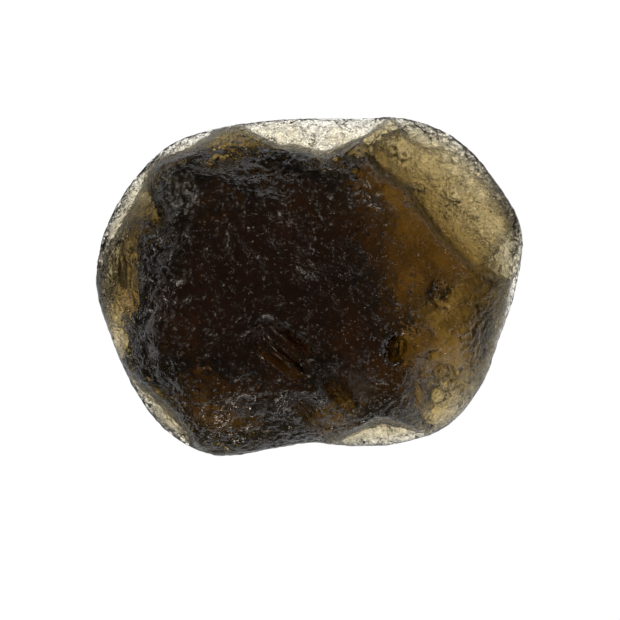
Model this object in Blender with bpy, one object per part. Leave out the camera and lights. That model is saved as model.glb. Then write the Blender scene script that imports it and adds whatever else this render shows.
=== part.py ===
"""A tektite: one lump of natural glass, lying on its flattest side with its thin edges chipped all round.

The lump is two sheets of height, an upper and a lower one, that meet along the rim. Seen from above the
rim is the stone's outline. Millimetres are used throughout, and turned into metres at the end.
"""

import math

import bmesh
import bpy
import numpy as np
from mathutils import Vector, noise

# Driving dimensions, in millimetres
LENGTH = 39.2
WIDTH = 31.2
HEIGHT = 16.0

MM = 0.001
CELLS = 28  # along each edge of the cube that the lattice starts from; even, so that a row lies on the rim

# The rim, once round from +X towards +Y: bearing in degrees, distance from the middle, height above the ground
RIM = (
    (0, 18.75, 8.0), (15, 19.75, 8.2), (30, 19.2, 8.3), (45, 18.75, 8.1), (60, 17.5, 7.8), (75, 15.75, 7.6),
    (90, 15.25, 7.6), (105, 15.55, 8.0), (120, 16.6, 8.4), (135, 18.1, 8.8), (150, 18.8, 9.3), (165, 19.4, 9.5),
    (180, 19.6, 9.5), (195, 18.85, 9.0), (210, 18.7, 8.4), (225, 18.65, 8.1), (240, 17.7, 8.0), (255, 15.35, 8.0),
    (270, 14.25, 7.9), (285, 15.15, 7.7), (300, 16.55, 7.6), (315, 17.95, 7.7), (330, 18.1, 7.9), (345, 17.95, 8.0),
)
RIM_LEVEL = 8.0  # the height that the rim's own ups and downs fade to at the middle

# The upper face: highest over the thick end, and falling away to every side
CREST = (-6.0, 0.5)
CREST_HEIGHT = 16.0
FALL_EAST = 0.0095
FALL_WEST = 0.0180
FALL_NORTH = 0.0250
FALL_SOUTH = 0.0185

# The under face: a worn flat that the stone rests on, and rising from it to every side
KEEL = (-2.2, 0.2)
KEEL_SINK = 0.80  # how far the rounded belly would reach below the flat
RISE_EAST = 0.0112
RISE_WEST = 0.0165
RISE_NORTH = 0.0260
RISE_SOUTH = 0.0225
FLAT_REACH = 0.62  # the flat ends before this share of the way out to the rim

# How bluntly each face turns over into the rim: a higher power keeps it level for longer
TOP_TURN = 9.0
UNDER_TURN = 4.2
THINNEST = 0.30  # of either face from the rim's level, so that the thin flanges keep a body

# Slow waves of the rim, which carry both faces up and down with them: count, height, bearing of one crest
LIFTS = ((1, 1.1, 165), (2, 1.0, 50), (3, 0.8, 25), (5, 0.35, 10))
LIFT_POWER = 3.5  # a higher power keeps them nearer the rim

# Flakes struck from the upper face, and the worn shoulders that they are struck into. edge: a point of the
# flake's inner edge; bearing: the way outwards; bow: how much that edge curves; floor: height at the edge;
# fall: its slope outwards; wall: the slope up to the face; blend: how softly it meets the face; moat: depth of
# the trough at the foot of the wall
SHOULDERS = (
    dict(edge=(-2.0, 8.2), bearing=92, bow=0.022, floor=14.1, fall=0.68, wall=0.3, blend=1.4),  # north
    dict(edge=(-12.3, 6.4), bearing=150, bow=0.020, floor=13.9, fall=0.68, wall=0.3, blend=1.4),  # north-west
    dict(edge=(-11.8, -7.8), bearing=222, bow=0.020, floor=13.9, fall=0.68, wall=0.3, blend=1.4),  # south-west
    dict(edge=(-2.0, -9.2), bearing=268, bow=0.020, floor=13.9, fall=0.68, wall=0.3, blend=1.4),  # south
)
FLAKES = (
    # the two parts of the big dish in the north-east
    dict(edge=(6.9, 10.4), bearing=50, bow=0.045, floor=10.0, fall=0.03, wall=2.6, blend=0.35, moat=0.8),
    dict(edge=(13.0, 3.7), bearing=46, bow=0.030, floor=10.2, fall=0.08, wall=2.8, blend=0.30, moat=1.1),
    # and the smaller flakes, going round by the north
    dict(edge=(10.5, 12.9), bearing=72, bow=0.110, floor=8.7, fall=0.20, wall=1.6, blend=0.3),  # north-east nick
    dict(edge=(0.2, 12.5), bearing=90, bow=0.060, floor=8.1, fall=0.10, wall=4.0, blend=0.35),  # north window
    dict(edge=(-11.4, 12.6), bearing=118, bow=0.010, floor=8.9, fall=0.20, wall=3.5, blend=0.35),  # clear sliver
    dict(edge=(-16.4, 7.2), bearing=152, bow=0.015, floor=10.2, fall=0.30, wall=3.0, blend=0.4),  # frosted bevel
    dict(edge=(-15.0, 0.4), bearing=178, bow=0.030, floor=12.8, fall=0.42, wall=0.9, blend=0.8),  # banded end
    dict(edge=(-15.6, -6.2), bearing=205, bow=0.020, floor=12.1, fall=0.50, wall=0.9, blend=0.8),  # amber shoulder
    dict(edge=(-14.2, -10.4), bearing=225, bow=0.008, floor=9.4, fall=0.35, wall=4.0, blend=0.4),  # south-west ledge
    dict(edge=(5.4, -12.8), bearing=282, bow=0.090, floor=8.9, fall=0.35, wall=4.0, blend=0.4),  # south window
    dict(edge=(10.4, -10.8), bearing=308, bow=0.020, floor=10.9, fall=0.60, wall=0.9, blend=0.8),  # south-east bevel
    dict(edge=(17.5, -3.2), bearing=350, bow=0.018, floor=8.8, fall=0.35, wall=5.0, blend=0.25),  # clear east edge
)
MOAT_WIDTH = 1.1
MOAT_LENGTH = 4.0

# Flakes struck from the under face, in the same words; floor is their height, and they rise outwards
UNDER_FLAKES = (
    dict(edge=(9.0, 10.5), bearing=52, bow=0.010, floor=4.9, fall=0.16, wall=0.7, blend=0.8),
    dict(edge=(0.2, 12.0), bearing=90, bow=0.040, floor=6.8, fall=0.05, wall=1.5, blend=0.6),
    dict(edge=(-11.4, 12.4), bearing=118, bow=0.010, floor=7.7, fall=0.10, wall=1.5, blend=0.5),
    dict(edge=(17.2, -2.5), bearing=350, bow=0.010, floor=6.8, fall=0.25, wall=1.4, blend=0.5),
    dict(edge=(-16.2, 7.2), bearing=152, bow=0.010, floor=7.6, fall=0.15, wall=1.4, blend=0.7),
    dict(edge=(5.4, -12.4), bearing=282, bow=0.090, floor=6.2, fall=0.10, wall=1.5, blend=0.6),
    dict(edge=(-14.6, -9.8), bearing=225, bow=0.010, floor=6.6, fall=0.20, wall=1.4, blend=0.6),
    dict(edge=(-15.2, 1.5), bearing=178, bow=0.020, floor=5.5, fall=0.28, wall=1.4, blend=0.7),
)

# Hollows with soft edges: middle, half length, half width, bearing of the length, depth
TOP_HOLLOWS = (
    ((7.0, 1.2), 8.2, 7.4, 10, 1.5),
    ((12.0, 11.3), 4.6, 3.0, -38, 0.7),
    ((15.8, 4.2), 4.4, 2.4, -55, 0.7),
    ((10.9, -8.5), 2.9, 2.4, 80, 1.4),
    ((10.6, -3.2), 1.9, 1.4, -30, 0.6),
    ((-16.9, 1.2), 4.4, 1.6, 88, 0.8),
    ((-14.0, 6.8), 2.4, 0.8, -58, 1.2),
    ((7.6, -5.7), 1.5, 1.1, 75, 1.0),
    ((-7.9, 11.1), 2.2, 0.8, 15, 1.1),
    ((12.9, -0.5), 2.2, 1.8, 70, 1.0),
)
UNDER_HOLLOWS = (
    ((13.0, -0.6), 2.5, 2.0, 70, 1.7),
    ((10.6, -3.2), 2.2, 1.6, -30, 1.5),
    ((8.0, -5.6), 2.0, 1.5, 60, 1.5),
    ((-16.2, -4.6), 2.0, 1.2, 100, 2.6),
    ((-17.3, 1.6), 2.3, 0.9, 91, -2.0),
    ((10.9, -0.2), 1.4, 0.9, 85, -1.2),
    ((-8.0, 11.0), 2.0, 1.2, 10, 1.7),
    ((10.7, -8.3), 3.2, 2.7, 80, 2.2),
    ((6.8, 0.8), 5.2, 6.2, 20, 2.5),
    ((3.6, 7.4), 4.2, 2.6, -25, 1.2),
    ((-8.4, -8.6), 2.8, 2.2, 30, 1.6),
    ((-6.2, 8.2), 3.0, 2.2, -20, 1.2),
    ((-13.6, 6.4), 2.4, 1.5, -50, 1.4),
    ((-12.2, -8.6), 2.6, 1.8, 40, 1.3),
    ((2.0, -9.4), 3.0, 1.6, -50, 2.4),
)

# Grooves with round ends and a low rib down the middle, like a coffee bean's, cut in the upper face:
# middle, half length, half width, bearing of the length, depth, height of the rib
BEAN_GROOVES = (
    ((-2.5, -5.6), 3.8, 2.1, -38, 1.7, 0.70),
    ((2.2, -9.25), 2.7, 1.20, -53, 1.7, 0.60),
    ((-0.55, -10.95), 2.1, 1.10, -57, 1.4, 0.50),
    ((-17.2, 1.6), 2.7, 1.10, 91, 1.1, 0.40),
)
RIB_WIDTH = 0.22  # of the groove's own half width

# Round pits left by bubbles, cut in the upper face: middle, radius, depth
BUBBLE_PITS = (
    ((12.0, -7.9), 1.10, 0.60),
    ((11.7, -10.0), 1.10, 0.60),
    ((12.7, 8.2), 1.20, 0.50),
)
BOWL_POWER = 1.5  # the roundness of a pit's side

# Lumps and wandering edges: height or shift, and the size of one lump
LUMP, LUMP_SIZE = 0.36, 4.2  # the upper face
UNDER_LUMP, UNDER_LUMP_SIZE = 0.18, 4.2  # the under face
MOTTLE, MOTTLE_SIZE = 0.30, 2.0  # finer lumps of the under face
SWELL, SWELL_SIZE = 0.42, 2.4  # the floors of the flakes
WANDER, WANDER_SIZE = 0.42, 3.1  # the edges of the flakes and grooves
LUMP_SEED, UNDER_LUMP_SEED, MOTTLE_SEED, SWELL_SEED = 1.3, 6.4, 2.2, 9.6
WANDER_SEED, UNDER_WANDER_SEED, SEED_STEP = 3.7, 5.2, 4.4

GLASS_COLOUR = (0.20, 0.14, 0.045, 1.0)
GLASS_ROUGHNESS = 0.22
GLASS_IOR = 1.49

ON_RIM = 1e-6  # a lattice point this near the middle plane lies on the rim


def clear_scene():
    for obj in list(bpy.data.objects):
        bpy.data.objects.remove(obj, do_unlink=True)


def smooth_min(a, b, blend):
    share = np.clip(0.5 + 0.5 * (b - a) / blend, 0.0, 1.0)
    return b * (1 - share) + a * share - blend * share * (1 - share)


def smooth_max(a, b, blend):
    return -smooth_min(-a, -b, blend)


def rounded_noise(x, y, size, seed):
    """Smooth noise from -1 to 1 over the plan, with features of this size in millimetres."""
    points = zip((x / size).tolist(), (y / size).tolist())
    return np.array([noise.noise(Vector((u, v, seed))) for u, v in points])


def around(bearing, column):
    """One column of RIM at these bearings in degrees, on a smooth closed curve through its points."""
    stations = np.array([row[0] for row in RIM], float)
    values = np.array([row[column] for row in RIM], float)
    step = stations[1] - stations[0]
    place = np.mod(bearing, 360.0) / step
    first = np.floor(place).astype(int)
    t = place - first
    before, a, b, after = (values[np.mod(first + shift, len(values))] for shift in (-1, 0, 1, 2))
    slope_a, slope_b = (b - before) / 2, (after - a) / 2
    return (
        a * (2 * t**3 - 3 * t**2 + 1)
        + slope_a * (t**3 - 2 * t**2 + t)
        + b * (3 * t**2 - 2 * t**3)
        + slope_b * (t**3 - t**2)
    )


def turned(x, y, middle, bearing):
    """Coordinates along a bearing and across it, from a middle point."""
    c, s = math.cos(math.radians(bearing)), math.sin(math.radians(bearing))
    return (x - middle[0]) * c + (y - middle[1]) * s, (y - middle[1]) * c - (x - middle[0]) * s


def flake_surface(x, y, flake):
    """Height of a struck flake's floor, and of the wall that climbs back to the face it was struck from."""
    out, along = turned(x, y, flake["edge"], flake["bearing"])
    out = out - flake["bow"] * along**2
    moat = flake.get("moat", 0.0) * np.exp(-((out / MOAT_WIDTH - 1) ** 2) - (along / MOAT_LENGTH) ** 2)
    return flake["floor"] - flake["fall"] * np.maximum(out, 0) - moat, flake["wall"] * np.maximum(-out, 0)


def hollow(x, y, middle, length, width, bearing):
    """1 in the middle of a soft-edged oval, falling smoothly to 0."""
    along, across = turned(x, y, middle, bearing)
    return np.exp(-((along / length) ** 2) - (across / width) ** 2)


def bowl(q):
    """1 in the middle of a bowl, 0 from q = 1 outwards."""
    return np.clip(1 - q**2, 0, 1) ** BOWL_POWER


def face_height(x, y):
    """The upper face before anything was struck from it."""
    dx, dy = x - CREST[0], y - CREST[1]
    fall = np.where(dx > 0, FALL_EAST, FALL_WEST) * dx**2 + np.where(dy > 0, FALL_NORTH, FALL_SOUTH) * dy**2
    return CREST_HEIGHT - fall


def belly_height(x, y):
    """The under face before anything was struck from it. It is negative where the flat has worn it away."""
    dx, dy = x - KEEL[0], y - KEEL[1]
    rise = np.where(dx > 0, RISE_EAST, RISE_WEST) * dx**2 + np.where(dy > 0, RISE_NORTH, RISE_SOUTH) * dy**2
    return rise - KEEL_SINK


def wandered(x, y, seed):
    """The plan shifted a little, so that no edge is a clean curve."""
    wx = x + WANDER * rounded_noise(x, y, WANDER_SIZE, seed)
    wy = y + WANDER * rounded_noise(x, y, WANDER_SIZE, seed + SEED_STEP)
    return wx, wy


def upper_sheet(x, y):
    """Height of the upper face, with its flakes, hollows, grooves and pits."""
    wx, wy = wandered(x, y, WANDER_SEED)
    z = face_height(x, y) + LUMP * rounded_noise(x, y, LUMP_SIZE, LUMP_SEED)
    swell = SWELL * rounded_noise(x, y, SWELL_SIZE, SWELL_SEED)
    for flake in SHOULDERS + FLAKES:
        floor, wall = flake_surface(wx, wy, flake)
        z = smooth_min(z, floor + wall + swell, flake["blend"])
    for middle, length, width, bearing, depth in TOP_HOLLOWS:
        z = z - depth * hollow(x, y, middle, length, width, bearing)
    for middle, length, width, bearing, depth, rib in BEAN_GROOVES:
        along, across = turned(wx, wy, middle, bearing)
        q = np.hypot(along / length, across / width)
        z = z - depth * bowl(q) + rib * bowl(q) * np.exp(-((across / (RIB_WIDTH * width)) ** 2))
    for middle, radius, depth in BUBBLE_PITS:
        z = z - depth * bowl(np.hypot(x - middle[0], y - middle[1]) / radius)
    return z


def under_sheet(x, y):
    """Height of the under face. It is exactly 0 over the flat that the stone rests on."""
    wx, wy = wandered(x, y, UNDER_WANDER_SEED)
    z = belly_height(x, y) + UNDER_LUMP * rounded_noise(x, y, UNDER_LUMP_SIZE, UNDER_LUMP_SEED)
    for flake in UNDER_FLAKES:
        floor, wall = flake_surface(wx, wy, flake)
        rising = 2 * flake["floor"] - floor
        z = smooth_max(z, rising - wall, flake["blend"])
    for middle, length, width, bearing, depth in UNDER_HOLLOWS:
        z = z + depth * hollow(x, y, middle, length, width, bearing)
    return np.maximum(z + MOTTLE * rounded_noise(x, y, MOTTLE_SIZE, MOTTLE_SEED), 0.0)


def lattice_on_ball():
    """A cube sliced into even cells and blown up into a ball of radius 1, as a bmesh."""
    ball = bmesh.new()
    bmesh.ops.create_cube(ball, size=2)
    bmesh.ops.subdivide_edges(ball, edges=ball.edges[:], cuts=CELLS - 1, use_grid_fill=True)
    for vert in ball.verts:
        vert.co = Vector([math.tan(c * math.pi / 4) for c in vert.co]).normalized()
    return ball


def lift(bearing, share):
    """How far the rim's waves carry the faces up, at these shares of the way out to the rim."""
    waves = sum(height * np.cos(np.radians(count * (bearing - crest))) for count, height, crest in LIFTS)
    return waves * share**LIFT_POWER


def stone_heights(unit):
    """Places of the ball's points on the stone: they slide out to the rim and up or down to its two sheets."""
    share = np.minimum(np.hypot(unit[:, 0], unit[:, 1]), 1.0)
    share = np.where(np.abs(unit[:, 2]) < ON_RIM, 1.0, share)
    bearing = np.degrees(np.arctan2(unit[:, 1], unit[:, 0]))
    reach = around(bearing, 1)
    x, y = unit[:, 0] * reach, unit[:, 1] * reach
    rim = RIM_LEVEL + (around(bearing, 2) - RIM_LEVEL) * share**2
    lowest = under_sheet(x, y)
    above = np.maximum(upper_sheet(x, y) - rim, THINNEST)
    below = np.maximum(rim - lowest, THINNEST)
    top = rim + above * np.sqrt(1 - share**TOP_TURN)
    under = rim - below * np.sqrt(1 - share**UNDER_TURN)
    worn = (lowest == 0) & (share < FLAT_REACH)
    under = np.where(worn, 0.0, np.maximum(under + lift(bearing, share), 0.0))
    return np.column_stack([x, y, np.where(unit[:, 2] >= 0, top + lift(bearing, share), under)])


def fit_to_size(points):
    """Centres the stone over the origin, on the ground, at its driving dimensions."""
    low, high = points.min(0), points.max(0)
    points = points - [(low[0] + high[0]) / 2, (low[1] + high[1]) / 2, low[2]]
    return points * (np.array([LENGTH, WIDTH, HEIGHT]) / (high - low))


def glass_material():
    glass = bpy.data.materials.new("tektite_glass")
    glass.use_nodes = True
    shader = glass.node_tree.nodes["Principled BSDF"]
    shader.inputs["Base Color"].default_value = GLASS_COLOUR
    shader.inputs["Roughness"].default_value = GLASS_ROUGHNESS
    shader.inputs["Metallic"].default_value = 0.0
    shader.inputs["IOR"].default_value = GLASS_IOR
    return glass


def build_tektite(collection):
    ball = lattice_on_ball()
    unit = np.array([vert.co for vert in ball.verts])
    for vert, place in zip(ball.verts, fit_to_size(stone_heights(unit)) * MM):
        vert.co = place
    bmesh.ops.triangulate(ball, faces=ball.faces[:], quad_method="SHORT_EDGE")
    bmesh.ops.recalc_face_normals(ball, faces=ball.faces[:])
    mesh = bpy.data.meshes.new("tektite")
    ball.to_mesh(mesh)
    ball.free()
    mesh.shade_smooth()
    mesh.materials.append(glass_material())
    tektite = bpy.data.objects.new("tektite", mesh)
    collection.objects.link(tektite)
    return tektite


def main():
    clear_scene()
    collection = bpy.data.collections.new("tektite")
    bpy.context.scene.collection.children.link(collection)
    build_tektite(collection)


main()
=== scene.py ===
# %% [markdown]
# A tektite is a lump of natural glass. It was thrown out molten, froze in flight, and was then etched by
# the soil for a very long time. This lesson dresses the plain solid stone as the one in the photograph:
# brown glass that is nearly black where it is thick, amber where it is thinner, and clear along its
# chipped edges.
#
# The work starts from the frame, which holds the plain stone at its real size. The dressed stone is
# scaled to its real length, width and height in the end.

import math
import random

import bmesh
import bpy
import numpy as np
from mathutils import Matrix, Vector, kdtree, noise


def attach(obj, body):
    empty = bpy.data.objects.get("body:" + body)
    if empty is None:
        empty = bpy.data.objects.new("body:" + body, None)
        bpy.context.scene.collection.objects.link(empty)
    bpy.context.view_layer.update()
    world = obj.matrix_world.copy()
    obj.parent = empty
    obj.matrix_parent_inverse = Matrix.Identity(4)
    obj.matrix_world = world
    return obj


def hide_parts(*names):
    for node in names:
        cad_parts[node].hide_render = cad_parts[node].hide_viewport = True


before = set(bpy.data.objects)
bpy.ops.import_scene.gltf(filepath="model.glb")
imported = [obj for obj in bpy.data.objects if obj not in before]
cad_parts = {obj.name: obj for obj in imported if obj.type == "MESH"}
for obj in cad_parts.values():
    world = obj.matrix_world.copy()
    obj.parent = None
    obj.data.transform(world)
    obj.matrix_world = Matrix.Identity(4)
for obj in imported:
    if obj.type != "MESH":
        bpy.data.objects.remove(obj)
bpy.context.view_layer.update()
MM = 0.001

# %% [markdown]
# Seen from above, the stone ends at its rim. It could be drawn as a polygon by hand, but a worn edge is
# round and has only two shallow notches, one in front and one behind. So a few stations go once round it,
# and a smooth closed curve goes through them. Each station says its bearing (0 is to the right, 90 to the
# back), how far the rim is from the middle, and how high it is over the ground.

# %% Rim
LENGTH, WIDTH, HEIGHT = 39.2, 31.2, 16.0
RIM = (
    (0, 18.75, 8.0), (15, 19.75, 8.2), (30, 19.2, 8.3), (45, 18.75, 8.1),
    (60, 17.5, 7.8), (75, 15.75, 7.6), (90, 15.25, 7.6), (105, 15.55, 8.0),
    (120, 16.6, 8.4), (135, 18.1, 8.8), (150, 18.8, 9.3), (165, 19.4, 9.5),
    (180, 19.6, 9.5), (195, 18.85, 9.0), (210, 18.7, 8.4), (225, 18.65, 8.1),
    (240, 17.7, 8.0), (255, 15.35, 8.0), (270, 14.25, 7.9), (285, 15.15, 7.7),
    (300, 16.55, 7.6), (315, 17.95, 7.7), (330, 18.1, 7.9), (345, 17.95, 8.0),
)
REACH, LEVEL_THERE = 1, 2  # the columns of RIM


def around(bearing, column):
    """One column of RIM at these bearings in degrees, on a smooth closed curve through its points."""
    stations = np.array([row[0] for row in RIM], float)
    values = np.array([row[column] for row in RIM], float)
    step = stations[1] - stations[0]
    place = np.mod(bearing, 360.0) / step
    first = np.floor(place).astype(int)
    t = place - first
    before, a, b, after = (values[np.mod(first + shift, len(values))] for shift in (-1, 0, 1, 2))
    slope_a, slope_b = (b - before) / 2, (after - a) / 2
    return (
        a * (2 * t**3 - 3 * t**2 + 1)
        + slope_a * (t**3 - 2 * t**2 + t)
        + b * (3 * t**2 - 2 * t**3)
        + slope_b * (t**3 - t**2)
    )


print("the rim has", len(RIM), "stations")

# %% [markdown]
# All the relief of the stone is a height over the plan, so it could be sculpted with brushes. Sums of
# simple shapes are chosen instead, because each one can be placed in millimetres and gives the same stone
# every time: two faces that meet in a soft crease, smooth noise, axes turned to a bearing, a soft oval, a
# bowl and a notch.

# %% Creases and noise
def smooth_min(a, b, blend):
    """The lower of two heights, with the crease between them rounded over this much height."""
    share = np.clip(0.5 + 0.5 * (b - a) / blend, 0.0, 1.0)
    return b * (1 - share) + a * share - blend * share * (1 - share)


def smooth_max(a, b, blend):
    """The higher of two heights, with a rounded crease."""
    return -smooth_min(-a, -b, blend)


def rounded_noise(x, y, size, seed):
    """Smooth noise from -1 to 1 over the plan, with features of this size in millimetres."""
    points = zip((x / size).tolist(), (y / size).tolist())
    return np.array([noise.noise(Vector((u, v, seed))) for u, v in points])


# %% Ovals, bowls and notches
BOWL_POWER = 1.5


def turned(x, y, middle, bearing):
    """Coordinates along a bearing and across it, from a middle point."""
    c, s = math.cos(math.radians(bearing)), math.sin(math.radians(bearing))
    return (x - middle[0]) * c + (y - middle[1]) * s, (y - middle[1]) * c - (x - middle[0]) * s


def hollow(x, y, middle, length, width, bearing):
    """1 in the middle of a soft-edged oval, falling smoothly to 0."""
    along, across = turned(x, y, middle, bearing)
    return np.exp(-((along / length) ** 2) - (across / width) ** 2)


def bowl(q):
    """1 in the middle of a bowl, 0 from q = 1 outwards."""
    return np.clip(1 - q**2, 0, 1) ** BOWL_POWER


def notch(q):
    """1 at the bottom of a sharp notch with straight sides, 0 from q = 1 outwards."""
    return np.clip(1 - q, 0, 1)


# %% [markdown]
# The upper face is a low dome over the thick end. The under face is a shallow belly with a small worn
# flat, which the stone rests on. A flattened ball would be too even, as the real dome falls at its own
# rate to each side, and the glass is lumpy. So each face is a parabola with four rates, and noise makes
# the lumps.

# %% Faces
CREST, CREST_HEIGHT = (-6.0, 0.5), 16.0
FALL_EAST, FALL_WEST, FALL_NORTH, FALL_SOUTH = 0.0095, 0.0180, 0.0250, 0.0185
KEEL, KEEL_SINK = (-2.2, 0.2), 0.80
RISE_EAST, RISE_WEST, RISE_NORTH, RISE_SOUTH = 0.0112, 0.0165, 0.0260, 0.0225
LUMP, BELLY_LUMP, LUMP_SIZE = 0.36, 0.18, 4.2
FACE_SEED, BELLY_SEED = 1.3, 6.4


def face_height(x, y):
    dx, dy = x - CREST[0], y - CREST[1]
    fall = np.where(dx > 0, FALL_EAST, FALL_WEST) * dx**2 + np.where(dy > 0, FALL_NORTH, FALL_SOUTH) * dy**2
    return CREST_HEIGHT - fall + LUMP * rounded_noise(x, y, LUMP_SIZE, FACE_SEED)


def belly_height(x, y):
    dx, dy = x - KEEL[0], y - KEEL[1]
    rise = np.where(dx > 0, RISE_EAST, RISE_WEST) * dx**2 + np.where(dy > 0, RISE_NORTH, RISE_SOUTH) * dy**2
    return rise - KEEL_SINK + BELLY_LUMP * rounded_noise(x, y, LUMP_SIZE, BELLY_SEED)


# %% [markdown]
# Glass breaks in shallow shells, and a tektite loses such flakes from its edges. They let the light in:
# the big dish at the upper right shows olive, and the small chips along the top, the right and the bottom
# are almost clear. They could be cut with boolean shells, but worn edges run softly into the face. So a
# flake is one more height: a curved inner edge, a wall that drops from the face, and a floor that runs
# out to the rim. The lower of face and flake wins, and a blend rounds the crease.

# %% Flakes
# Each row: a point of the inner edge, the bearing outwards, the bow of the edge, the floor's height, its
# fall per millimetre, the wall's slope, the moat's depth along the foot of the wall, and the blend.
FLAKES = (
    ((-2.0, 8.2), 92, 0.022, 14.1, 0.68, 0.3, 0.0, 1.4),  # north shoulder
    ((-12.3, 6.4), 150, 0.020, 13.9, 0.68, 0.3, 0.0, 1.4),  # north-west shoulder
    ((-11.8, -7.8), 222, 0.020, 13.9, 0.68, 0.3, 0.0, 1.4),  # south-west shoulder
    ((-2.0, -9.2), 268, 0.020, 13.9, 0.68, 0.3, 0.0, 1.4),  # south shoulder
    ((6.9, 10.4), 50, 0.045, 10.0, 0.03, 2.6, 0.3, 0.35),  # upper dish
    ((13.0, 3.7), 46, 0.030, 10.2, 0.08, 2.8, 0.4, 0.30),  # lower dish
    ((10.5, 12.9), 72, 0.110, 8.7, 0.20, 1.6, 0.0, 0.3),  # north-east nick
    ((0.2, 12.5), 90, 0.060, 8.1, 0.10, 4.0, 0.0, 0.35),  # north chip
    ((-11.4, 12.6), 118, 0.010, 8.9, 0.20, 3.5, 0.0, 0.35),  # clear sliver
    ((-16.4, 7.2), 152, 0.015, 10.2, 0.30, 3.0, 0.0, 0.4),  # frosted bevel
    ((-15.0, 0.4), 178, 0.030, 12.8, 0.42, 0.9, 0.0, 0.8),  # banded end
    ((-15.6, -6.2), 205, 0.020, 12.1, 0.50, 0.9, 0.0, 0.8),  # amber shoulder
    ((-14.2, -10.4), 225, 0.008, 9.4, 0.35, 4.0, 0.0, 0.4),  # south-west ledge
    ((5.4, -12.8), 282, 0.090, 8.9, 0.35, 4.0, 0.0, 0.4),  # south chip
    ((10.4, -10.8), 308, 0.020, 10.9, 0.60, 0.9, 0.0, 0.8),  # south-east bevel
    ((17.5, -3.2), 350, 0.018, 8.8, 0.35, 5.0, 0.0, 0.25),  # clear east edge
)
UNDER_FLAKES = (
    ((9.0, 10.5), 52, 0.010, 5.0, 0.16, 0.7, 0.0, 0.8),
    ((0.2, 12.0), 90, 0.040, 6.8, 0.05, 1.5, 0.0, 0.6),
    ((-11.4, 12.4), 118, 0.010, 7.7, 0.10, 1.5, 0.0, 0.5),
    ((17.2, -2.5), 350, 0.010, 6.8, 0.25, 1.4, 0.0, 0.5),
    ((-16.2, 7.2), 152, 0.010, 7.6, 0.15, 1.4, 0.0, 0.7),
    ((5.4, -12.4), 282, 0.090, 6.2, 0.10, 1.5, 0.0, 0.6),
    ((-14.6, -9.8), 225, 0.010, 6.6, 0.20, 1.4, 0.0, 0.6),
    ((-15.2, 1.5), 178, 0.020, 5.5, 0.28, 1.4, 0.0, 0.7),
)
MOAT_WIDTH, MOAT_LENGTH = 1.1, 4.0
print(len(FLAKES), "flakes above and", len(UNDER_FLAKES), "below")

# %% Floors, walls and frayed edges
WANDER, WANDER_SIZE = 0.42, 3.1
FRAY, FRAY_SIZE = 0.16, 0.8
FRAY_X, WANDER_Y, FRAY_Y = 1, 4.4, 5  # added to the seed, so that no two noises are the same


def flake_surface(x, y, edge, bearing, bow, floor, fall, wall, moat):
    """Height of a struck flake's floor, and of the wall that climbs back to the face it was struck from."""
    out, along = turned(x, y, edge, bearing)
    out = out - bow * along**2
    sunk = moat * np.exp(-((out / MOAT_WIDTH - 1) ** 2) - (along / MOAT_LENGTH) ** 2)
    return floor - fall * np.maximum(out, 0) - sunk, wall * np.maximum(-out, 0)


def wandered(x, y, seed):
    """The plan shifted a little, so that no edge is a clean curve."""
    wx = x + WANDER * rounded_noise(x, y, WANDER_SIZE, seed)
    wy = y + WANDER * rounded_noise(x, y, WANDER_SIZE, seed + WANDER_Y)
    wx = wx + FRAY * rounded_noise(x, y, FRAY_SIZE, seed + FRAY_X)
    return wx, wy + FRAY * rounded_noise(x, y, FRAY_SIZE, seed + FRAY_Y)


# %% [markdown]
# The soil has opened the glass along old strains. Broad soft hollows, mostly on the under face, make the
# amber patches, because more light comes up where the glass is thinner. They could be painted as colour,
# but then they would stay when the stone is turned, so they are real hollows. Each row says the middle,
# half the length, half the width, the bearing and the depth; a depth below 0 is a swelling.

# %% Broad hollows
TOP_HOLLOWS = (
    ((7.0, 1.2), 8.2, 7.4, 10, 1.5),
    ((12.0, 11.3), 4.6, 3.0, -38, 0.7),
    ((15.8, 4.2), 4.4, 2.4, -55, 1.1),
    ((11.2, -8.6), 2.9, 2.4, 80, 1.0),
    ((10.6, -3.2), 1.9, 1.4, -30, 0.6),
    ((-16.9, 1.2), 4.4, 1.6, 88, 0.8),
    ((-14.0, 6.8), 2.4, 0.8, -58, 1.2),
    ((7.6, -5.7), 1.3, 0.9, 75, 1.2),
    ((-7.9, 11.1), 2.2, 0.8, 15, 1.1),
    ((4.7, 11.5), 0.9, 0.8, 0, 0.5),
    ((6.3, 8.2), 1.0, 0.9, 0, 0.5),
    ((12.9, -0.5), 2.2, 1.8, 70, 1.0),
)
UNDER_HOLLOWS = (
    ((13.0, -0.6), 2.3, 1.9, 70, 1.6),
    ((10.6, -3.2), 3.0, 2.3, -30, 2.2),
    ((8.0, -5.6), 2.0, 1.6, 60, 1.5),
    ((-16.2, -4.6), 2.0, 1.2, 100, 2.6),
    ((-17.3, 1.6), 2.3, 0.9, 91, -2.0),
    ((10.9, -0.2), 1.4, 0.9, 85, -1.2),
    ((-15.3, 0.1), 2.2, 0.6, 92, 1.8),
    ((-17.0, 4.4), 1.4, 0.9, 60, 0.9),
    ((-13.0, 5.3), 2.8, 1.3, -58, 1.8),
    ((-8.0, 11.0), 2.8, 1.7, 10, 1.8),
    ((11.3, -8.6), 3.4, 2.9, 80, 2.7),
    ((6.8, 0.8), 5.2, 6.2, 20, 3.8),
    ((3.6, 7.4), 4.2, 2.6, -25, 1.2),
    ((-8.4, -8.6), 2.8, 2.2, 30, 1.6),
    ((-6.2, 8.2), 3.0, 2.2, -20, 1.2),
    ((-13.6, 6.4), 2.4, 1.5, -50, 1.4),
    ((-12.2, -8.6), 2.6, 1.8, 40, 1.3),
    ((2.0, -9.4), 3.4, 2.4, -50, 3.2),
    ((1.3, 11.2), 2.2, 1.3, 0, 1.6),
)
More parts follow.
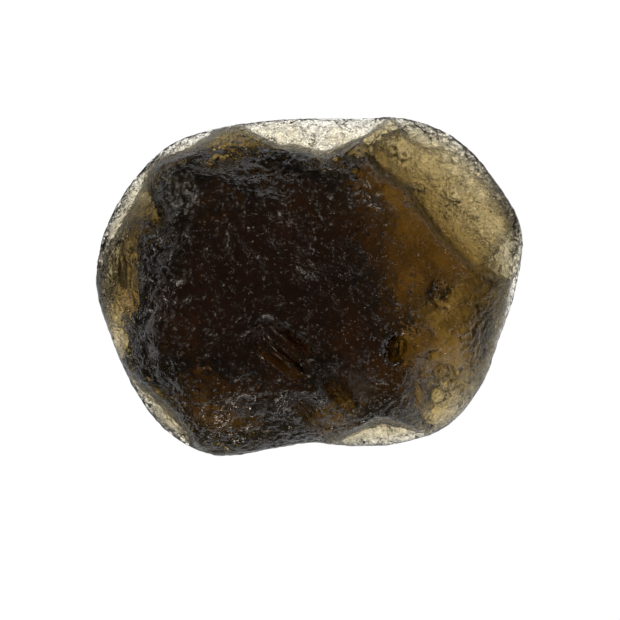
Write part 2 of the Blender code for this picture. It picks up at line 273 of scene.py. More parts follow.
print(len(TOP_HOLLOWS), "hollows above and", len(UNDER_HOLLOWS), "below")

# %% [markdown]
# Three grooves near the front, and a small one beside them, have a rib down the middle like a coffee
# bean. Fine slits follow the flow of the glass, and the round pits and rings are bubbles that the surface
# has cut through. A bump map would do for the smallest, but these are large enough to bend the light, so
# they are carved as well.

# %% Grooves, slits and bubbles
# Middle, half the length, half the width, bearing and depth; for the grooves also the height of the rib.
BEAN_GROOVES = (
    ((-2.5, -5.6), 3.8, 2.1, -38, 1.6, 0.70),
    ((2.2, -9.25), 2.7, 1.25, -53, 1.3, 0.60),
    ((-0.55, -10.95), 2.1, 1.10, -57, 1.1, 0.50),
    ((7.6, -5.65), 1.5, 1.0, 80, 0.8, 0.40),
)
RIB_SHARE = 0.22
SLITS = (
    ((-17.2, 1.6), 2.7, 0.50, 91, 0.7),
    ((-17.9, 1.8), 2.0, 0.42, 94, 0.5),
    ((-16.55, 1.4), 2.2, 0.42, 87, 0.6),
    ((-15.8, 0.4), 2.6, 0.40, 95, 0.5),
    ((0.46, 11.2), 0.9, 0.40, 80, 0.5),
    ((2.2, 11.15), 0.8, 0.40, 60, 0.5),
    ((5.8, -8.7), 1.3, 0.50, -20, 0.5),
    ((11.3, -6.0), 1.3, 0.40, 15, 0.5),
    ((9.5, -9.6), 1.6, 0.45, 97, 0.6),
    ((10.2, -11.8), 1.1, 0.40, -40, 0.5),
    ((8.3, -7.2), 1.2, 0.35, 60, 0.4),
    ((5.9, 11.0), 0.9, 0.35, -40, 0.4),
    ((6.4, 9.9), 0.8, 0.30, -60, 0.4),
    ((-13.7, 6.0), 1.3, 0.35, -60, 0.5),
)
BUBBLE_RINGS = (  # middle and radius
    ((12.03, -7.95), 0.75),
    ((11.7, -10.0), 0.80),
    ((13.4, -9.0), 0.45),
    ((7.44, 12.35), 0.42),
    ((8.4, 11.9), 0.36),
)
RING_WIDTH, RING_DEPTH = 0.22, 0.42
BUBBLE_PITS = (  # middle, radius and depth
    ((12.7, 8.2), 1.1, 0.55),
    ((15.0, 6.4), 0.55, 0.50),
    ((15.1, 7.85), 0.45, 0.40),
    ((7.44, 14.0), 0.45, 0.45),
    ((12.0, 11.5), 0.50, 0.45),
    ((13.1, 11.3), 0.45, 0.45),
    ((13.7, 11.0), 0.45, 0.45),
    ((4.0, 9.9), 0.60, 0.55),
    ((-4.5, 8.6), 0.75, 0.55),
)
print(len(BEAN_GROOVES), "grooves,", len(SLITS), "slits,", len(BUBBLE_RINGS) + len(BUBBLE_PITS), "bubbles")

# %% Bands at the left end
FURROW_STEP, FURROW_DEPTH, FURROW_BEND = 0.95, 0.05, 0.028
FURROW_PATCH = ((-17.0, 0.3), 2.9, 5.2)


def furrows(x, y):
    """Low curved bands side by side, where the glass flowed in layers."""
    middle, half_x, half_y = FURROW_PATCH
    patch = bowl(np.hypot((x - middle[0]) / half_x, (y - middle[1]) / half_y))
    bend = FURROW_BEND * (y - middle[1]) ** 2
    return FURROW_DEPTH * patch * np.sin(2 * math.pi * (x - bend) / FURROW_STEP)


# %% [markdown]
# Now each face is put together: the plain face, its flakes, and then everything that is carved into it.
# Both are functions of the place on the plan, so any number of points can ask for their height.

# %% The upper face
SWELL = ((2.4, 0.42, 9.6), (1.2, 0.26, 4.1))  # size, height and seed of the lumps on the flakes' floors
TOP_SEED, UNDER_SEED = 3.7, 5.2


def lumps(x, y, rows):
    return sum(height * rounded_noise(x, y, size, seed) for size, height, seed in rows)


def upper_sheet(x, y):
    """Height of the upper face, with its flakes, hollows, grooves and pits."""
    wx, wy = wandered(x, y, TOP_SEED)
    z = face_height(x, y)
    swell = lumps(x, y, SWELL)
    for *flake, blend in FLAKES:
        floor, wall = flake_surface(wx, wy, *flake)
        z = smooth_min(z, floor + wall + swell, blend)
    for *oval, depth in TOP_HOLLOWS:
        z = z - depth * hollow(x, y, *oval)
    for middle, length, width, bearing, depth, rib in BEAN_GROOVES:
        along, across = turned(wx, wy, middle, bearing)
        q = np.hypot(along / length, across / width)
        z = z - depth * bowl(q) + rib * bowl(q) * np.exp(-((across / (RIB_SHARE * width)) ** 2))
    for middle, length, width, bearing, depth in SLITS:
        along, across = turned(wx, wy, middle, bearing)
        z = z - depth * notch(np.hypot(along / length, across / width))
    for middle, radius in BUBBLE_RINGS:
        away = np.hypot(x - middle[0], y - middle[1])
        z = z - RING_DEPTH * np.exp(-(((away - radius) / RING_WIDTH) ** 2))
    for middle, radius, depth in BUBBLE_PITS:
        z = z - depth * bowl(np.hypot(x - middle[0], y - middle[1]) / radius)
    return z + furrows(x, y)


# %% The under face
MOTTLE = ((2.0, 0.30, 2.2), (0.95, 0.05, 7.9))  # lumps that make the brown of the thick glass uneven


def under_sheet(x, y):
    """Height of the under face. It is exactly 0 over the flat that the stone rests on."""
    wx, wy = wandered(x, y, UNDER_SEED)
    z = belly_height(x, y)
    for edge, bearing, bow, level, fall, slope, moat, blend in UNDER_FLAKES:
        floor, wall = flake_surface(wx, wy, edge, bearing, bow, level, fall, slope, moat)
        rising = 2 * level - floor  # the same floor, turned over
        z = smooth_max(z, rising - wall, blend)
    for *oval, depth in UNDER_HOLLOWS:
        z = z + depth * hollow(x, y, *oval)
    return np.maximum(z + lumps(x, y, MOTTLE), 0.0)


# %% [markdown]
# The stone needs a closed skin. A grid over the plan would fold at the rim, and a globe has crowded
# poles. A sliced cube, blown up into a ball, has even cells everywhere. Its points slide outwards to the
# rim and up or down to the two faces. The skin is fine enough for relief of a quarter of a millimetre.

# %% A ball with even cells
CELLS = 128


def lattice_on_ball():
    """A cube sliced into even cells and blown up into a ball of radius 1, as a bmesh."""
    ball = bmesh.new()
    bmesh.ops.create_cube(ball, size=2)
    bmesh.ops.subdivide_edges(ball, edges=ball.edges[:], cuts=CELLS - 1, use_grid_fill=True)
    for vert in ball.verts:
        vert.co = Vector([math.tan(c * math.pi / 4) for c in vert.co]).normalized()
    return ball


ball = lattice_on_ball()
unit = np.array([vert.co for vert in ball.verts])
print("the skin has", len(ball.verts), "points")

# %% From the ball to the stone
RIM_LEVEL = 8.0
RIM_POWER = 2  # how early the rim's own height takes over towards the edge
TOP_TURN, UNDER_TURN = 9.0, 4.2  # how late each face turns down to the rim
THINNEST = 0.22
FLAT_REACH = 0.62
ON_RIM = 1e-6
LIFTS = ((1, 1.1, 165), (2, 1.0, 50), (3, 0.8, 25), (5, 0.35, 10))  # waves, height, bearing of a crest
LIFT_POWER = 3.5


def lift(bearing, share):
    """The rim's slow waves, which carry both faces up and down with them."""
    waves = sum(height * np.cos(np.radians(count * (bearing - crest))) for count, height, crest in LIFTS)
    return waves * share**LIFT_POWER


def stone_points(unit):
    """The ball's points moved to the stone: out to the rim, and up or down to its two faces."""
    share = np.minimum(np.hypot(unit[:, 0], unit[:, 1]), 1.0)
    share = np.where(np.abs(unit[:, 2]) < ON_RIM, 1.0, share)
    bearing = np.degrees(np.arctan2(unit[:, 1], unit[:, 0]))
    reach = around(bearing, REACH)
    x, y = unit[:, 0] * reach, unit[:, 1] * reach
    rim = RIM_LEVEL + (around(bearing, LEVEL_THERE) - RIM_LEVEL) * share**RIM_POWER
    lowest = under_sheet(x, y)
    above = np.maximum(upper_sheet(x, y) - rim, THINNEST)
    below = np.maximum(rim - lowest, THINNEST)
    top = rim + above * np.sqrt(1 - share**TOP_TURN)
    under = rim - below * np.sqrt(1 - share**UNDER_TURN)
    worn = (lowest == 0) & (share < FLAT_REACH)
    under = np.where(worn, 0.0, np.maximum(under + lift(bearing, share), 0.0))
    return np.column_stack([x, y, np.where(unit[:, 2] >= 0, top + lift(bearing, share), under)])


# %% The real size
def fit_to_size(points):
    """Centres the stone over the origin, on the ground, at its real dimensions."""
    low, high = points.min(0), points.max(0)
    points = points - [(low[0] + high[0]) / 2, (low[1] + high[1]) / 2, low[2]]
    return points * (np.array([LENGTH, WIDTH, HEIGHT]) / (high - low))


def move_skin(points):
    """Puts the ball's points at these places, given in millimetres."""
    for vert, place in zip(ball.verts, points):
        vert.co = place * MM


points = fit_to_size(stone_points(unit))
move_skin(points)
bmesh.ops.recalc_face_normals(ball, faces=ball.faces[:])
ball.normal_update()
normals = np.array([vert.normal for vert in ball.verts])
print("the smooth stone is", round(points[:, 2].max(), 2), "mm high")

# %% [markdown]
# The acids of the soil have bitten fine pits into the whole skin, lying every way. Noise alone would look
# like orange peel, so each pit is its own small oval bowl, thrown at random with a fixed seed. It is
# pushed in along the skin's own normal, so that the steep edges are pitted as well. Between the pits the
# skin is uneven.

# %% Etched pits
ETCH_COUNT = 5600
ETCH_LONG = (0.22, 0.55)  # half the length, in millimetres
ETCH_ROUND = (0.40, 1.0)  # half the width, as a share of half the length
ETCH_DEPTH = (0.03, 0.14)
ETCH_STEEP = 0.3  # how far the pits point up or down, against 1 for sideways
GRAIN = ((1.3, 0.06), (0.5, 0.025))  # size and height


def grain(points):
    """Uneven skin: two sizes of lumps."""
    height = np.zeros(len(points))
    for size, amount in GRAIN:
        height += amount * np.array([noise.noise(Vector(p)) for p in (points / size).tolist()])
    return height


def etched(points, chance):
    """How far each point is bitten in by small oval pits, scattered evenly over the skin."""
    tree = kdtree.KDTree(len(points))
    for index, place in enumerate(points.tolist()):
        tree.insert(place, index)
    tree.balance()
    bite = np.zeros(len(points))
    for _ in range(ETCH_COUNT):
        middle = points[chance.randrange(len(points))]
        long_half = chance.uniform(*ETCH_LONG)
        round_share = chance.uniform(*ETCH_ROUND)
        depth = chance.uniform(*ETCH_DEPTH)
        way = Vector((chance.gauss(0, 1), chance.gauss(0, 1), chance.gauss(0, ETCH_STEEP))).normalized()
        near = [index for _, index, _ in tree.find_range(middle.tolist(), long_half)]
        off = points[near] - middle
        along = off @ np.array(way)
        across = np.sqrt(np.maximum((off**2).sum(1) - along**2, 0))
        q = np.hypot(along / long_half, across / (long_half * round_share))
        bite[near] = np.maximum(bite[near], depth * bowl(q))
    return bite


# %% [markdown]
# The old skin is deeply etched, and the floors of the flakes are fresher breaks: brighter and smoother.
# One number per point says how old the skin is there. It could be painted by hand, but it follows from
# the shape: the deeper a flake cuts into the face, the fresher it is. A few ovals add the breaks that no
# flake explains. Each says its middle, half its length, half its width and its bearing.

# %% Old and fresh skin
FRESH_FROM, FRESH_OVER = 1.6, 1.2  # the depth of cut where the skin turns fresh, and over how much more
PATCH_GAIN = 1.8
FRESH_PATCHES = (
    ((12.3, 8.2), 7.5, 3.4, -52),
    ((11.4, -8.8), 3.0, 2.4, 80),
    ((-17.2, 0.6), 5.0, 1.6, 92),
    ((-8.2, 11.1), 2.2, 0.9, 12),
    ((-13.1, 5.4), 2.6, 0.7, -55),
    ((1.3, 11.2), 1.8, 0.7, 0),
    ((2.2, -9.3), 2.2, 0.9, -53),
    ((-0.6, -11.0), 1.7, 0.8, -57),
)
UNDER_AGE = (0.1, 1.3)  # where the glass is thin, and where it is thick
THIN_GLASS, THICK_GLASS = 4.0, 9.0


def freshness(x, y):
    """0 on the old etched skin, rising to 1 on and under the floors of the flakes."""
    cut = (face_height(x, y) - upper_sheet(x, y) - FRESH_FROM) / FRESH_OVER
    patches = sum(hollow(x, y, *patch) for patch in FRESH_PATCHES)
    return np.clip(np.maximum(cut, PATCH_GAIN * patches), 0, 1)


fresh = freshness(points[:, 0], points[:, 1])
thickness = upper_sheet(points[:, 0], points[:, 1]) - under_sheet(points[:, 0], points[:, 1])
thick = np.clip((thickness - THIN_GLASS) / (THICK_GLASS - THIN_GLASS), 0, 1)
age = np.where(unit[:, 2] >= 0, 1 - fresh, UNDER_AGE[0] + (UNDER_AGE[1] - UNDER_AGE[0]) * thick)
print("the glass is up to", round(thickness.max(), 1), "mm thick")
print("fresh skin:", round(100 * fresh.mean()), "%")

# %% The bitten skin
SEED = 11
FRESH_SHARE = 0.45  # how much of the relief is left on fresh skin
FLAT_BELOW = 0.02  # the worn flat, in millimetres over the ground

relief = (grain(points) - etched(points, random.Random(SEED))) * (FRESH_SHARE + (1 - FRESH_SHARE) * age)
relief[points[:, 2] < FLAT_BELOW] = 0.0
points = points + normals * relief[:, None]
points[:, 2] = np.maximum(points[:, 2], 0.0)
points = fit_to_size(points)
move_skin(points)
bmesh.ops.triangulate(ball, faces=ball.faces[:], quad_method="SHORT_EDGE")
mesh = bpy.data.meshes.new("tektite_glass_body")
ball.to_mesh(mesh)
ball.free()
mesh.shade_smooth()
stone = bpy.data.objects.new("tektite_glass_body", mesh)
bpy.context.scene.collection.objects.link(stone)
print("the skin has", len(mesh.polygons), "triangles, bitten in by up to", round(-relief.min(), 2), "mm")

# %% [markdown]
# Some places of the skin look different. Bevels at the edge are frosted. The under face is matt, so that
# the light from below spreads in the glass. Deep slits, the feet of ledges and ridges, the rims of bubbles
# and a few broad patches look dark, because the real glass there turns the light away or is thicker.
# That darkness is painted shade: the finest can't be carved at this scale, so ovals and thin lines say
# where it goes, and how strong, and the material darkens the skin there.

# %% Frosted places and painted shade
FROST_PATCHES = (
    ((-16.6, 7.6), 3.4, 1.9, 60),
    ((4.2, -8.7), 1.8, 1.2, -40),
    ((-9.4, 13.4), 4.0, 1.0, 27),
    ((-13.6, -11.0), 3.2, 1.2, -47),
    ((3.4, -14.2), 4.0, 0.9, 10),
    ((15.0, -9.6), 4.6, 1.2, 52),
    ((17.0, -3.4), 3.6, 1.3, 80),
)
# painted shade: each oval darkens the surface colour where the glass turns light away or is thicker
SHADES = (  # middle, half the length, half the width, bearing and strength
    ((-17.1, 1.5), 2.2, 0.62, 92, 1.35),
    ((-18.4, -0.4), 2.2, 0.6, 98, 0.40),
    ((-16.4, -3.9), 1.0, 0.35, 80, 0.5),
    ((10.9, -0.2), 1.3, 0.65, 85, 0.95),
    ((15.4, -2.6), 3.0, 1.7, 85, 0.70),
    ((15.2, -6.4), 3.2, 1.4, 70, 0.70),
    ((14.8, -10.2), 3.4, 0.9, 50, 0.45),
    ((7.8, -10.4), 2.6, 1.2, 95, 0.5),
    ((11.6, -13.1), 3.2, 0.7, 24, 0.30),
    ((9.3, -10.0), 1.9, 0.35, 97, 0.7),
    ((10.2, -12.2), 1.2, 0.3, -40, 0.7),
    ((17.9, 7.0), 3.0, 0.6, -68, 0.5),
    ((5.4, 11.6), 1.5, 0.30, -42, 0.8),
    ((7.4, 9.9), 1.5, 0.30, -42, 0.9),
    ((9.4, 8.9), 1.1, 0.28, -15, 0.8),
    ((10.3, 7.8), 1.2, 0.30, -77, 0.9),
    ((11.2, 5.9), 1.6, 0.30, -54, 0.9),
    ((12.8, 3.9), 1.6, 0.26, -50, 0.7),
    ((14.3, 2.1), 1.5, 0.24, -54, 0.6),
    ((16.0, 0.7), 1.6, 0.26, -32, 0.7),
)
OUTLINE_WIDTH, RING_DARK, GROOVE_DARK = 0.16, 0.75, 0.65
ARC = 0.55  # a second line inside a groove, as a share of its size


def outlines(x, y):
    """Painted shade along the bubble rings and the bean grooves, and along an arc inside each groove."""
    dark = np.zeros(len(x))
    for middle, radius in BUBBLE_RINGS:
        away = np.hypot(x - middle[0], y - middle[1])
        dark += RING_DARK * np.exp(-(((away - radius) / OUTLINE_WIDTH) ** 2))
    for middle, length, width, bearing, _, _ in BEAN_GROOVES:
        along, across = turned(x, y, middle, bearing)
        q = np.hypot(along / length, across / width)
        for edge in (1.0, ARC):
            dark += GROOVE_DARK * np.exp(-(((q - edge) * width / OUTLINE_WIDTH) ** 2))
    return dark


x, y = points[:, 0], points[:, 1]
frost = sum(hollow(x, y, *patch) for patch in FROST_PATCHES)
# painted shade for the slits, ledge feet, ridges and the outlines of grooves and rings
shade = sum(hollow(x, y, *oval) * strength for *oval, strength in SHADES)
shade = shade + outlines(x, y)
print(len(FROST_PATCHES), "frosted patches and", len(SHADES), "dark ones")

# %% Values that the skin carries
MATT_RAMP = 0.12  # how far under the rim the under face gets matt
FRESH_MATT, THICK_MATT = 0.10, 0.05  # how much of that is left where the skin is fresh, or the glass thick
FLANK, LEVEL, FLANK_SATIN = 0.80, 0.92, 0.30  # steep and level skin, and the satin left on the steep

matt = np.clip(-unit[:, 2] / MATT_RAMP, 0, 1)
matt = matt * (1 - (1 - FRESH_MATT) * fresh) * (1 - (1 - THICK_MATT) * thick)
level = np.clip((np.abs(normals[:, 2]) - FLANK) / (LEVEL - FLANK), FLANK_SATIN, 1)
skins = {"matt": matt, "frost": frost, "shade": shade, "level": level}
skins = {"age": age, **{name: np.minimum(values, 1) for name, values in skins.items()}}
for name, values in skins.items():
    carried = mesh.attributes.new("skin_" + name, "FLOAT", "POINT")
    carried.data.foreach_set("value", values.astype(np.float32))
    print("skin_" + name, "goes from", round(float(values.min()), 2), "to", round(float(values.max()), 2))


# %% [markdown]
# A material is a tree of nodes, and long sums in it are hard to read when each node is placed by hand. So
# a socket's value is wrapped in a small class, and plain Python sums can be written with it.

# %% Shader helper
class Signal:
    """A socket's value in one material, which Python's own operators work on."""

    def __init__(self, tree, socket=None):
        self.tree, self.socket = tree, socket

    def node(self, kind, settings=None, sockets=None, output=0):
        """Adds any node: its settings first, then its sockets' values or links. Returns one output."""
        made = self.tree.nodes.new(kind)
        for name, value in (settings or {}).items():
            setattr(made, name, value)
        for name, value in (sockets or {}).items():
            if isinstance(value, Signal):
                self.tree.links.new(value.socket, made.inputs[name])
            else:
                made.inputs[name].default_value = value
        return Signal(self.tree, made.outputs[output])

    def _sum(self, operation, first, second):
        if self.socket.type == "VECTOR":
            other = "Scale" if operation == "SCALE" else 1
            return self.node("ShaderNodeVectorMath", {"operation": operation}, {0: first, other: second})
        return self.node("ShaderNodeMath", {"operation": operation}, {0: first, 1: second})

    def __add__(self, other):
        return self._sum("ADD", self, other)

    def __sub__(self, other):
        return self._sum("SUBTRACT", self, other)

    def __rsub__(self, other):
        return self._sum("SUBTRACT", other, self)

    def __mul__(self, other):
        if self.socket.type == "VECTOR" and not isinstance(other, (tuple, Signal)):
            return self._sum("SCALE", self, other)
        return self._sum("MULTIPLY", self, other)

    def within(self, low, high, to_low=0.0, to_high=1.0):
        """Smoothly from to_low to to_high while the value goes from low to high."""
        sockets = {"Value": self, "From Min": low, "From Max": high, "To Min": to_low, "To Max": to_high}
        return self.node("ShaderNodeMapRange", {"interpolation_type": "SMOOTHSTEP"}, sockets)

    def noise(self, scale, detail, output="Fac", distortion=0.0):
        """Noise at this place, with this many features to the millimetre."""
        look = {"Vector": self, "Scale": scale, "Detail": detail, "Distortion": distortion}
        return self.node("ShaderNodeTexNoise", sockets=look, output=output)


# %% [markdown]
# Some marks are too fine to carve: pits of a few tenths of a millimetre. They are bumps in the material.
# An image could hold them, but it would need an unwrapped skin and would blur close up. A pattern of
# random cells has the same sharpness everywhere. Cones catch a glint like etched pits do, and bowls look
# like burst bubbles.

# %% Patterns of pits
BOWL_FLOOR = 0.3  # the flat middle of a bowl, as a share of its radius
PICK_EDGE = 0.02


def pits(place, scale, radius, share, cone=False):
    """Round bowls or cones in this share of a pattern's cells: 1 in the middle of one and 0 outside it."""
    cells = {"Vector": place, "Scale": scale, "Randomness": 1.0}
    away = place.node("ShaderNodeTexVoronoi", sockets=cells, output="Distance")
    tone = place.node("ShaderNodeTexVoronoi", sockets=cells, output="Color")
    picked = place.node("ShaderNodeSeparateXYZ", sockets={0: tone}, output="X")
    if cone:
        falling = {"Value": away, "From Max": radius * scale, "To Min": 1.0, "To Max": 0.0}
        deep = place.node("ShaderNodeMapRange", sockets=falling)
    else:
        deep = away.within(BOWL_FLOOR * radius * scale, radius * scale, 1.0, 0.0)
    return deep * picked.within(share - PICK_EDGE, share, 1.0, 0.0)


# %% [markdown]
# The gloss of the glass isn't even: the old skin is satin from etching, the flanks are glossier, and the
# frosted bevels are dull. So the roughness is a sum of what the skin carries, with a slow cloud in it.
# The finest relief is chosen in the same way: small cones on the old skin, crinkles and bowls on the
# fresh breaks.

# %% Gloss and fine relief
CLOUD_SCALE, CRINKLE_SCALE, FINE_SCALE = 0.4, 1.5, 3.6  # features to the millimetre
GLOSS_CLOUD = (0.35, 0.7, 0.08, 0.11)  # the cloud from and to, and the roughness from and to
OLD_SATIN, UNDER_SATIN, FROST_SATIN = 0.20, 0.30, 0.14
OLD_CONES = ((1.3, 0.32, 0.50, 0.17), (2.6, 0.17, 0.55, 0.09))  # scale, radius, share and depth
FRESH_BOWLS = ((0.8, 0.42, 0.40, 0.34), (2.2, 0.18, 0.40, 0.10))
OLD_GRAIN, CRINKLE, FROST_GRAIN = 0.05, 0.42, 0.20
CRINKLE_TWIST = 1.2


def gloss(place, skin):
    satin = skin["age"].within(0.0, 1.0, 0.0, OLD_SATIN) * skin["level"]
    cloud = place.noise(CLOUD_SCALE, 3.0).within(*GLOSS_CLOUD)
    return cloud + satin + skin["matt"] * UNDER_SATIN + skin["frost"] * FROST_SATIN


def fine_relief(place, bent, skin):
    """Height of the finest relief, in millimetres."""
    fine = place.noise(FINE_SCALE, 1.6)
    old = fine * OLD_GRAIN
    for *pattern, depth in OLD_CONES:
        old = old - pits(bent, *pattern, cone=True) * depth
    fresh = place.noise(CRINKLE_SCALE, 3.0, distortion=CRINKLE_TWIST) * CRINKLE
    for *pattern, depth in FRESH_BOWLS:
        fresh = fresh - pits(bent, *pattern) * depth
    youth = skin["age"].within(0.0, 1.0, 1.0, 0.0)
    return old * skin["age"] + fresh * youth + fine * skin["frost"] * FROST_GRAIN


# %% [markdown]
# The surface colour also takes a little light away. Streaks in the slits, a thin ring round each pit and
# small flecks are painted shade, where the real relief turns the light aside; wide faint veins on the old
# skin make its brown uneven. On glass the base colour tints what passes through the surface, so 1 leaves
# it clear and 0 stops the light. It is a weak tint: the colour of the stone comes from inside.

# %% Painted shade and veins on the skin
STREAK_STRETCH = (2.2, 0.5, 1.0)
SHADE_FLECK_SCALE, VEIN_SCALE = 2.6, 0.42
STREAKS = (0.30, 0.62, 1.25, 0.55)  # the noise from and to, and the strength from and to
RING_PITS = ((1.5, 0.32, 0.55), (3.0, 0.15, 0.50))
RING_MARK = 0.34 / 0.25  # a ring peaks at a quarter, half-way up its pit
SHADE_FLECKS = (0.56, 0.68, 0.0, 0.34)
VEINS = (0.42, 0.58, 0.45, 0.0)
VEIN_AGE = 0.3
DARKEST = 0.03
GREEN_KEPT, BLUE_KEPT = 0.985, 0.95


def clearness(place, bent, skin):
    """1 where the surface lets all light through, and almost 0 where shade is painted in."""
    streaks = (place * STREAK_STRETCH).noise(1.0, 2.0).within(*STREAKS)
    bowls = [pits(bent, *pattern) for pattern in RING_PITS]
    rings = bowls[0] * (1.0 - bowls[0]) + bowls[1] * (1.0 - bowls[1])
    shade_flecks = bent.noise(SHADE_FLECK_SCALE, 2.0).within(*SHADE_FLECKS)
    # painted shade: streaks in the slits, rings round the pits and small flecks
    dark = skin["shade"] * streaks + rings * RING_MARK + shade_flecks
    veins = bent.noise(VEIN_SCALE, 3.0).within(*VEINS) * skin["age"].within(VEIN_AGE, 1.0)
    return dark.within(0.0, 1.0, 1.0, DARKEST) * (1.0 - veins)


# %% [markdown]
# Tektite glass is the same all through. Light that crosses it loses blue first, then green, then red, and
# that alone gives every colour in the stone, from clear through olive and amber to black. A brown surface
# colour would be brown on the thin edges too. So the body is fully clear and bends light as this glass
# does, and an absorbing volume fills it: the tint says which colours pass, and the strength how fast the
# others go.

# %% Glass
GLASS_TINT = (0.5625, 0.431, 0.0375, 1.0)
GLASS_STRENGTH = 740.0  # per metre
GLASS_BEND = 1.49
SWIRL_SCALE, SWIRL_PUSH = 1.1, (0.5, 0.5, 0.5)  # pushes the patterns about, so that no pit is quite round


def tektite_glass():
    material = bpy.data.materials.new("tektite_glass")
    material.use_nodes = True
    tree = material.node_tree
    shader = tree.nodes["Principled BSDF"]
    start = Signal(tree)
    place = start.node("ShaderNodeTexCoord", output="Object") * (1 / MM)
    swirl = place.noise(SWIRL_SCALE, 1.0, output="Color")
    pushed = {0: swirl, 1: SWIRL_PUSH, 2: place}
    bent = start.node("ShaderNodeVectorMath", {"operation": "MULTIPLY_ADD"}, pushed)
    skin = {}
    for name in skins:
        skin[name] = start.node("ShaderNodeAttribute", {"attribute_name": "skin_" + name}, output="Fac")
    height = fine_relief(place, bent, skin)
    bump = start.node("ShaderNodeBump", sockets={"Height": height, "Strength": 1.0, "Distance": MM})
    clear = clearness(place, bent, skin)
    kept = {0: clear, 1: clear * GREEN_KEPT, 2: clear * BLUE_KEPT}
    tint = start.node("ShaderNodeCombineXYZ", sockets=kept)
    for socket, signal in {"Roughness": gloss(place, skin), "Normal": bump, "Base Color": tint}.items():
        tree.links.new(signal.socket, shader.inputs[socket])
    for socket, value in {"Metallic": 0.0, "IOR": GLASS_BEND, "Transmission Weight": 1.0}.items():
        shader.inputs[socket].default_value = value
    absorbed = {"Color": GLASS_TINT, "Density": GLASS_STRENGTH}
    inside = start.node("ShaderNodeVolumeAbsorption", sockets=absorbed)
    tree.links.new(inside.socket, tree.nodes["Material Output"].inputs["Volume"])
    print("the glass has", len(tree.nodes), "nodes")
    return material


mesh.materials.append(tektite_glass())
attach(stone, "root")
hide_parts("tektite")

# %% [markdown]
# The stone lies on a pale surface that glows evenly, which is why its thin edges light up and it throws
# no shadow. A white plate under lamps would show a shadow, so the table gives out light itself.

# %% Table
TABLE_GLOW = 1.0
TABLE_TOP = -0.0001
TABLE_REACH = 2.0
TABLE_GREY = (0.06, 0.06, 0.06, 1.0)
WELL_SHARE = 0.95
WELL_STEP = 3.0  # degrees


def glowing(name, strength):
    material = bpy.data.materials.new(name)
    material.use_nodes = True
    shader = material.node_tree.nodes["Principled BSDF"]
    shader.inputs["Base Color"].default_value = TABLE_GREY
    shader.inputs["Roughness"].default_value = 1.0
    shader.inputs["Specular IOR Level"].default_value = 0.0
    shader.inputs["Emission Color"].default_value = (1.0, 1.0, 1.0, 1.0)
    shader.inputs["Emission Strength"].default_value = strength
    return material


def staged(name, shape, material):
    mesh = bpy.data.meshes.new(name)
    shape.to_mesh(mesh)
    shape.free()
    mesh.materials.append(material)
    piece = bpy.data.objects.new(name, mesh)
    bpy.context.scene.collection.objects.link(piece)
    print(name, "is staged")


def pale_table():
    """A pale glowing table with a well in it, hidden under the stone."""
    bearings = np.arange(0, 360, WELL_STEP)
    reach = around(bearings, REACH) * WELL_SHARE * MM
    c, s = np.cos(np.radians(bearings)), np.sin(np.radians(bearings))
    top = bmesh.new()
    inner = [top.verts.new((r * cc, r * ss, TABLE_TOP)) for r, cc, ss in zip(reach, c, s)]
    outer = [top.verts.new((TABLE_REACH * cc, TABLE_REACH * ss, TABLE_TOP)) for cc, ss in zip(c, s)]
    for index in range(len(inner)):
        after = (index + 1) % len(inner)
        top.faces.new((inner[index], outer[index], outer[after], inner[after]))
    staged("pale_table", top, glowing("pale_table", TABLE_GLOW))


pale_table()

# %% [markdown]
# Glass on an evenly bright table shows no relief, as every way through it ends in the same white. In the
# photograph each pit and ridge has a dark side, so the light from below must come mostly straight up, as
# from a light box. That is what the well is for: a lamp lies deep in it, bright in the middle and fading
# outwards. A ray that the glass turns far aside meets the dim part. Further out it is bright again, so
# that nothing dark shows under the stone when it is seen from the side.

# %% Lamp in the well
LAMP_DEPTH = 0.15
LAMP_REACH = 2.0
LAMP_SIDES = 64
LAMP_GLOW = 2.3
LAMP_FADES = ((0.0, 0.30, 0.46), (0.30, 1.4, 0.40))  # from one tangent of the slant to another, to a share
LAMP_RETURN = (1.05, 1.7, 0.25)  # and from one tangent to another, back up by a share


def well_lamp():
    lamp = bmesh.new()
    bmesh.ops.create_circle(lamp, cap_ends=True, segments=LAMP_SIDES, radius=LAMP_REACH)
    bmesh.ops.translate(lamp, verts=lamp.verts[:], vec=(0, 0, -LAMP_DEPTH))
    material = glowing("well_lamp", LAMP_GLOW)
    tree = material.node_tree
    spot = Signal(tree).node("ShaderNodeTexCoord", output="Object") * (1 / LAMP_DEPTH)
    slant = spot.node("ShaderNodeVectorMath", {"operation": "LENGTH"}, {0: spot * (1.0, 1.0, 0.0)}, "Value")
    near, far = (slant.within(first, last, 1.0, share) for first, last, share in LAMP_FADES)
    first, last, share = LAMP_RETURN
    fade = near * far + slant.within(first, last, 0.0, share)
    tree.links.new(fade.socket, tree.nodes["Principled BSDF"].inputs["Emission Color"])
    staged("well_lamp", lamp, material)


well_lamp()

# %% [markdown]
# From above comes warm daylight. Three small soft lights put a glint on the etched skin. They stand at
# half height, because lower or larger ones would smear over the dark body. The room is a dim world whose
# walls are brighter low down, which gives the steep flanks something to mirror.

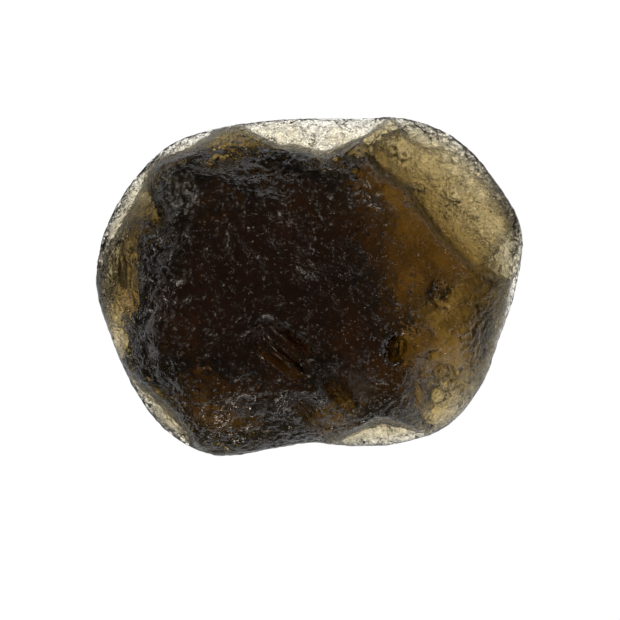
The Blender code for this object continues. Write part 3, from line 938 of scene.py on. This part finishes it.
# %% Lights
DAYLIGHT = (1.0, 0.92, 0.80)
LIGHT_SIZE = 0.07
LIGHT_AIM = (0.0, 0.0, 0.01)
LIGHTS = (  # name, place in metres and watts
    ("window_left", (-0.27, 0.155, 0.20), 0.17),
    ("window_right", (0.24, 0.21, 0.21), 0.20),
    ("window_front", (0.05, -0.34, 0.20), 0.20),
)

for name, place, watts in LIGHTS:
    data = bpy.data.lights.new(name, "AREA")
    data.size = LIGHT_SIZE
    data.energy = watts
    data.color = DAYLIGHT
    light = bpy.data.objects.new(name, data)
    light.location = place
    light.rotation_euler = (Vector(LIGHT_AIM) - Vector(place)).to_track_quat("-Z", "Y").to_euler()
    bpy.context.scene.collection.objects.link(light)
    print(name, "gives", watts, "watts")

# %% Room
ROOM_GLOW, WALL_GLOW = 0.08, 0.30
WALL_TOP, CEILING = 0.05, 0.50  # as sines of the height that they are seen at


def pale_room():
    """A room whose walls are pale and bright low down and fade to a dim ceiling."""
    world = bpy.data.worlds.new("pale_room")
    world.use_nodes = True
    way = Signal(world.node_tree).node("ShaderNodeTexCoord", output="Generated")
    up = way.node("ShaderNodeSeparateXYZ", sockets={0: way}, output="Z")
    background = world.node_tree.nodes["Background"]
    glow = up.within(WALL_TOP, CEILING, WALL_GLOW, ROOM_GLOW)
    world.node_tree.links.new(glow.socket, background.inputs["Strength"])
    background.inputs["Color"].default_value = (*DAYLIGHT, 1.0)
    bpy.context.scene.world = world


pale_room()
bpy.context.scene.view_settings.view_transform = "Standard"

# %% [markdown]
# The photograph looks straight down from well above. A short lens would show the flanks, so a long one is
# used from far away. It frames 57 mm of the table, and the stone sits a little above the middle.

# %% Camera
LENS, SENSOR = 200.0, 36.0
FRAME_WIDTH = 57.15
FRAME_MIDDLE = (0.0, -2.20)

camera_data = bpy.data.cameras.new("camera")
camera_data.lens = LENS
camera_data.sensor_width = SENSOR
camera = bpy.data.objects.new("camera", camera_data)
distance = FRAME_WIDTH * LENS / SENSOR
camera.location = Vector((*FRAME_MIDDLE, RIM_LEVEL + distance)) * MM
bpy.context.scene.collection.objects.link(camera)
bpy.context.scene.camera = camera
print("the camera is", round(distance), "mm above the rim")
